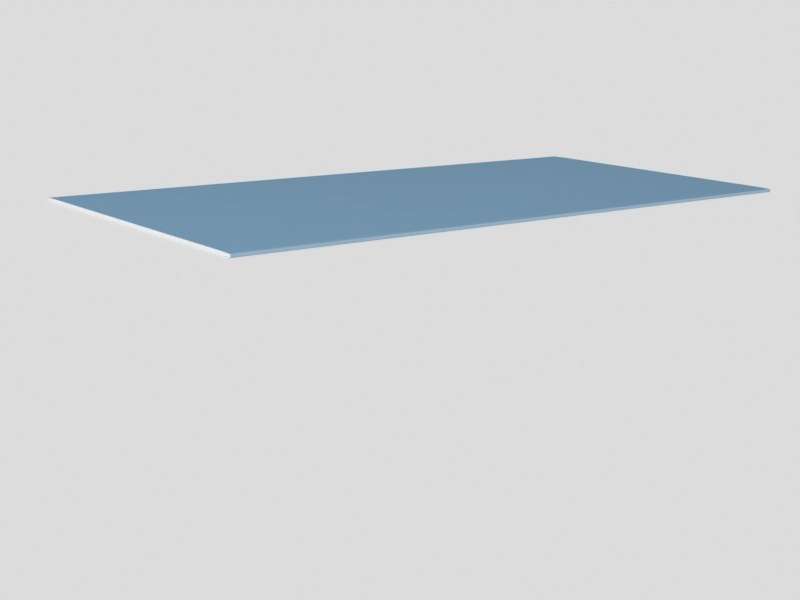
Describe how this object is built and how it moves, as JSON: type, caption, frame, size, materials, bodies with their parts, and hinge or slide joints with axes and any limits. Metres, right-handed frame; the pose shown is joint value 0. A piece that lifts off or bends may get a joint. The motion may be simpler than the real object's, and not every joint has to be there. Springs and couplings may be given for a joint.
{
  "type": "drywall sheet",
  "caption": "Flat rectangular plasterboard: a white gypsum core in blue-grey face paper that wraps its tapered long edges, with back paper and square-cut ends.",
  "frame": {"origin": "middle of the underside, on the outer surface of the back paper", "axes": "+X along the sheet's length and its tapered edges, +Y across its width, +Z out of its face; it lies flat on its back"},
  "size_m": [2.5, 1.2, 0.0125],
  "materials": {
    "gypsum_core": "matte, finely porous",
    "face_paper": "smooth matte, blue-grey",
    "back_paper": "plain matte, grey"
  },
  "bodies": {
    "root": {"gypsum_core": "gypsum_core", "face_paper": "face_paper", "back_paper": "back_paper"}
  },
  "joints": []
}
